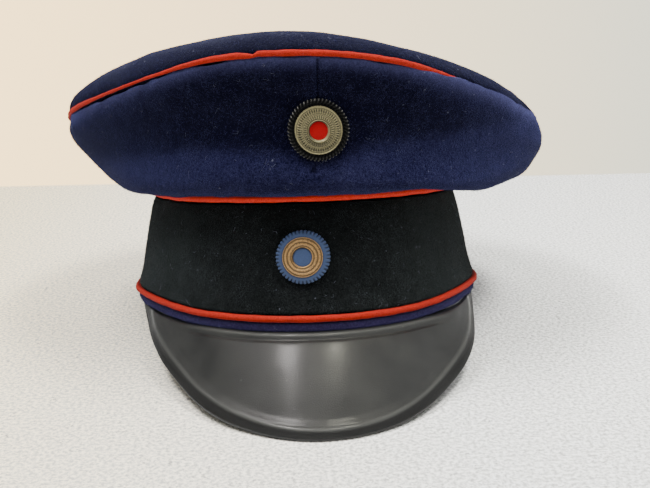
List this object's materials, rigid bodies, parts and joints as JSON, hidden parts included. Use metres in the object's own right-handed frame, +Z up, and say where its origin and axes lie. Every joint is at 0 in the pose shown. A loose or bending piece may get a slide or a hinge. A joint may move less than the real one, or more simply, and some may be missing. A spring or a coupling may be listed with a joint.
{
  "type": "peaked cap",
  "caption": "Soft peaked cap with a wide overhanging cloth crown, tapered wool band, corded seams, moulded leather peak and round metal cockades, lying on its peak and rim.",
  "frame": {"origin": "centre of the bounding box's foot, on the surface that the cap lies on", "axes": "+Z up, -Y towards the front of the cap and its peak, +X to the right as seen from the front"},
  "size_m": [0.2432, 0.2828, 0.1488],
  "materials": {
    "navy_cloth": "napped wool",
    "black_cloth": "napped wool",
    "red_piping": "felted wool cord",
    "peak_leather": "worn lacquer",
    "black_metal": "dull black",
    "white_metal": "tarnished",
    "red_enamel": "satin paint",
    "gilt_metal": "worn gilt",
    "blue_enamel": "satin paint"
  },
  "bodies": {
    "root": {"hem": "navy_cloth", "hem_piping": "red_piping", "band": "black_cloth", "crown_piping": "red_piping", "crown_side": "navy_cloth", "top_piping": "red_piping", "crown_top": "navy_cloth", "peak": "peak_leather", "upper_cockade_base": "black_metal", "upper_cockade_ring": "white_metal", "upper_cockade_centre": "red_enamel", "lower_cockade_base": "blue_enamel", "lower_cockade_ring": "gilt_metal", "lower_cockade_centre": "blue_enamel"}
  },
  "joints": []
}
